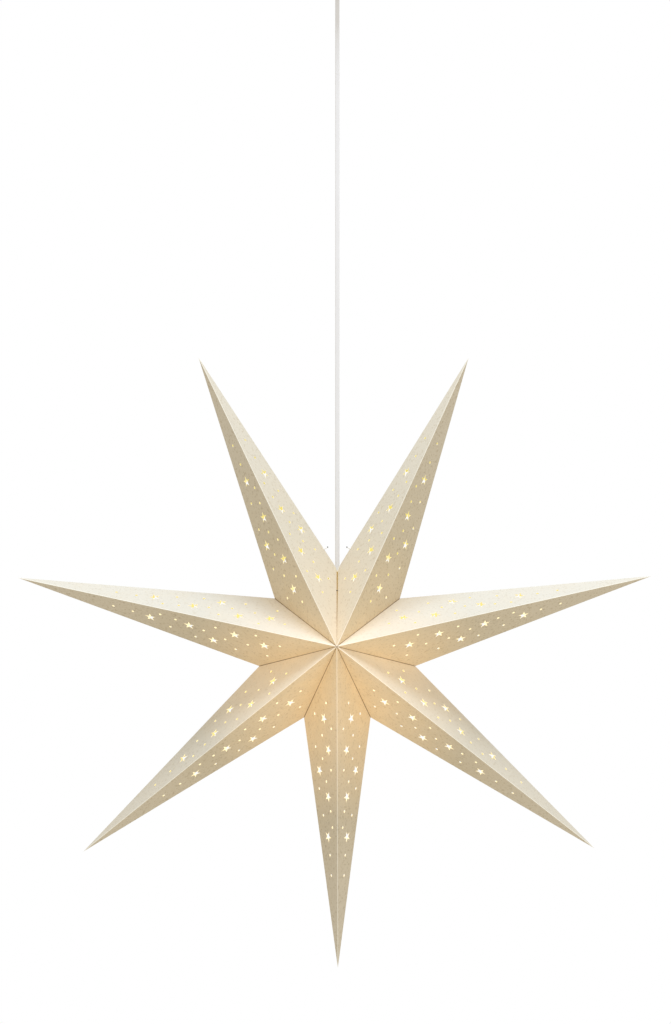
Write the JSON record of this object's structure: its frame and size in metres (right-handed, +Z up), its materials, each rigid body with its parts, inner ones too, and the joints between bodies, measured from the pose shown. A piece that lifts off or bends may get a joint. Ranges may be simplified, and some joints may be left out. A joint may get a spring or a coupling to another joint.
{
  "type": "paper star pendant lamp",
  "caption": "Flat star lantern of folded, punched card on a flat flex, with ceiling cup, ball swivel, lampholder and round bulb.",
  "frame": {"origin": "middle of the ceiling bar's top face, between its two ceiling screw holes", "axes": "+Z up out of the ceiling face, +Y to the star's back through its thin side, +X to its right"},
  "size_m": [0.7506, 0.176, 1.255],
  "materials": {
    "zinc_steel": "zinc plated",
    "white_plastic": "satin",
    "white_holder": "satin",
    "natural_nylon": "matte",
    "brass": "satin",
    "white_flex": "satin vinyl",
    "brown_core": "satin vinyl",
    "blue_core": "satin vinyl",
    "porcelain": "glazed",
    "bulb_glass": "frosted, lit",
    "stem_glass": "clear",
    "glowing_filament": "glowing",
    "bulb_metal": "bright",
    "black_insulator": "black glass",
    "cream_card": "uncoated, finely speckled",
    "white_tie": "coated wire",
    "dark_steel": "dark wire"
  },
  "bodies": {
    "ceiling_fitting": {"ceiling_bar": "zinc_steel", "canopy_cup": "white_plastic", "canopy_side_screws": "zinc_steel", "terminal_block": "natural_nylon", "terminal_sleeves": "brass", "terminal_clamp_screws": "zinc_steel", "ceiling_core_live": "brown_core", "ceiling_core_neutral": "blue_core", "cord_anchor_front": "natural_nylon", "cord_anchor_back": "natural_nylon", "cord_anchor_screws": "zinc_steel", "cord_in_canopy": "white_flex", "cord_grip_body": "white_plastic", "grip_nut": "white_plastic", "socket_ring": "white_plastic"},
    "ball": {"swivel_ball": "white_plastic"},
    "flex": {"drop_cord": "white_flex"},
    "lantern": {"holder_cap": "white_holder", "holder_skirt": "white_holder", "holder_grip_screw": "zinc_steel", "holder_insulator": "porcelain", "screw_shell": "brass", "shell_contact": "brass", "centre_contact": "brass", "terminal_screws": "zinc_steel", "cord_tail": "white_flex", "holder_core_live": "brown_core", "holder_core_neutral": "blue_core", "top_tie": "white_tie", "front_seam_staple": "dark_steel", "back_seam_staple": "dark_steel", "ray_bottom": "cream_card", "ray_lower_right": "cream_card", "ray_right": "cream_card", "ray_top_right": "cream_card", "ray_top_left": "cream_card", "ray_left": "cream_card", "ray_lower_left": "cream_card"},
    "bulb_end": {"bulb_cap_insulator": "black_insulator", "bulb_tip_contact": "bulb_metal"},
    "bulb": {"bulb_glass": "bulb_glass", "bulb_screw_cap": "bulb_metal", "bulb_stem": "stem_glass", "bulb_filaments": "glowing_filament", "filament_wires": "bulb_metal"}
  },
  "joints": [
    {"name": "swing_side", "type": "hinge", "parent": "ceiling_fitting", "child": "ball", "pos_m": [0, 0, -0.072], "axis": [0, 1, 0], "range_deg": [-12, 12]},
    {"name": "swing_fore", "type": "hinge", "parent": "ball", "child": "flex", "pos_m": [0, 0, -0.072], "axis": [1, 0, 0], "range_deg": [-12, 12]},
    {"name": "lantern_twist", "type": "hinge", "parent": "flex", "child": "lantern", "pos_m": [0, 0, -0.8], "axis": [0, 0, 1], "range_deg": [-90, 90], "stiffness_Nm_per_rad": 0.002},
    {"name": "bulb_travel", "type": "slide", "parent": "lantern", "child": "bulb_end", "axis": [0, 0, -1], "range_m": [0, 0.01693]},
    {"name": "bulb_turn", "type": "hinge", "parent": "bulb_end", "child": "bulb", "pos_m": [0, 0, -0.86], "axis": [0, 0, -1], "range_deg": [0, 2160]}
  ],
  "couplings": [
    {"joint": "bulb_turn", "follows": "bulb_travel", "rad_per_m": 2226.5}
  ]
}
